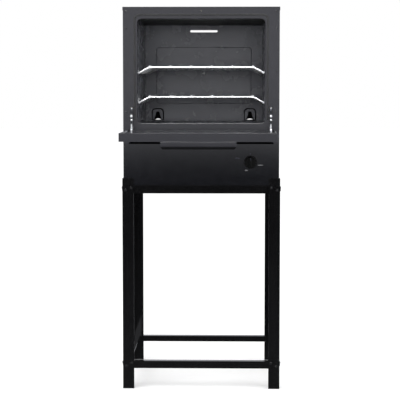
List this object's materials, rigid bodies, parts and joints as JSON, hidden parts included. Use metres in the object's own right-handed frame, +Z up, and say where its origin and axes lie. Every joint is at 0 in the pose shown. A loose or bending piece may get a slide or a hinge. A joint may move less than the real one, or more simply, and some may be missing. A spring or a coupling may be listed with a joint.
{
  "type": "cabinet smoker",
  "caption": "Upright gas cabinet smoker on an angle-iron stand, with a drop-down door, lift-out wire racks and a push-and-turn gas knob.",
  "frame": {"origin": "on the floor, below the middle of the whole object with its door open", "axes": "+Z up, -Y out of the front, where the door and the knob are, +X to the right as seen from the front"},
  "size_m": [0.5648, 0.995, 1.354],
  "materials": {
    "charcoal_enamel": "semi-gloss stoved enamel on sheet steel",
    "stand_paint": "satin dark grey powder coat",
    "liner_enamel": "dark grey enamelled liner",
    "black_enamel": "black enamel",
    "zinc_steel": "bright zinc plate",
    "chrome_wire": "chrome-plated wire",
    "burner_steel": "plain steel",
    "gas_brass": "machined brass",
    "black_plastic": "matte heat-resistant plastic",
    "seal_black": "braided black door rope",
    "mineral_wool": "mineral wool blanket",
    "white_ceramic": "glazed ceramic and lead sleeve"
  },
  "bodies": {
    "cabinet": {"leg_front_left": "stand_paint", "leg_front_right": "stand_paint", "leg_rear_left": "stand_paint", "leg_rear_right": "stand_paint", "top_rail_front": "stand_paint", "top_rail_rear": "stand_paint", "top_rail_left": "stand_paint", "top_rail_right": "stand_paint", "low_rail_front": "stand_paint", "low_rail_rear": "stand_paint", "low_rail_left": "stand_paint", "low_rail_right": "stand_paint", "stand_bolts": "black_enamel", "stand_nuts": "black_enamel", "base_pan": "stand_paint", "side_panel_left": "charcoal_enamel", "side_panel_right": "charcoal_enamel", "back_panel": "charcoal_enamel", "roof": "charcoal_enamel", "front_frame": "charcoal_enamel", "frame_screws": "black_enamel", "back_screws": "zinc_steel", "door_gasket": "seal_black", "liner_left": "liner_enamel", "liner_right": "liner_enamel", "liner_ceiling": "liner_enamel", "liner_back": "liner_enamel", "liner_screw": "zinc_steel", "chamber_floor": "liner_enamel", "rack_ledges_left": "liner_enamel", "rack_ledges_right": "liner_enamel", "insulation_left": "mineral_wool", "insulation_right": "mineral_wool", "insulation_top": "mineral_wool", "insulation_back": "mineral_wool", "exhaust_duct": "charcoal_enamel", "air_inlet_left": "black_enamel", "air_inlet_right": "black_enamel", "control_panel": "stand_paint", "knob_bezel": "black_plastic", "gas_valve": "gas_brass", "supply_pipe": "gas_brass", "gas_inlet": "gas_brass", "feed_pipe": "gas_brass", "injector": "gas_brass", "burner_tube": "burner_steel", "burner_brackets": "burner_steel", "igniter": "white_ceramic", "chip_tray": "burner_steel", "hinge_arm_left": "zinc_steel", "hinge_arm_right": "zinc_steel"},
    "door": {"door_skin": "charcoal_enamel", "door_liner": "charcoal_enamel", "door_insulation": "mineral_wool", "door_handle": "charcoal_enamel", "door_hinges": "zinc_steel"},
    "knob_plunger": {"thrust_washer": "zinc_steel"},
    "knob": {"control_knob": "black_plastic"},
    "upper_rack": {"upper_rack": "chrome_wire"},
    "lower_rack": {"lower_rack": "chrome_wire"}
  },
  "joints": [
    {"name": "door_hinge", "type": "hinge", "parent": "cabinet", "child": "door", "pos_m": [0, -0.0725, 0.908], "axis": [-1, 0, 0], "range_deg": [0, 90]},
    {"name": "knob_push", "type": "slide", "parent": "cabinet", "child": "knob_plunger", "axis": [0, 1, 0], "range_m": [0, 0.003], "stiffness_N_per_m": 1500},
    {"name": "knob_turn", "type": "hinge", "parent": "knob_plunger", "child": "knob", "pos_m": [0.174, -0.0525, 0.81], "axis": [0, -1, 0], "range_deg": [0, 240]},
    {"name": "upper_rack_slide", "type": "slide", "parent": "cabinet", "child": "upper_rack", "axis": [0, 1, 0], "range_m": [-0.22, 0]},
    {"name": "lower_rack_slide", "type": "slide", "parent": "cabinet", "child": "lower_rack", "axis": [0, 1, 0], "range_m": [-0.22, 0]}
  ]
}
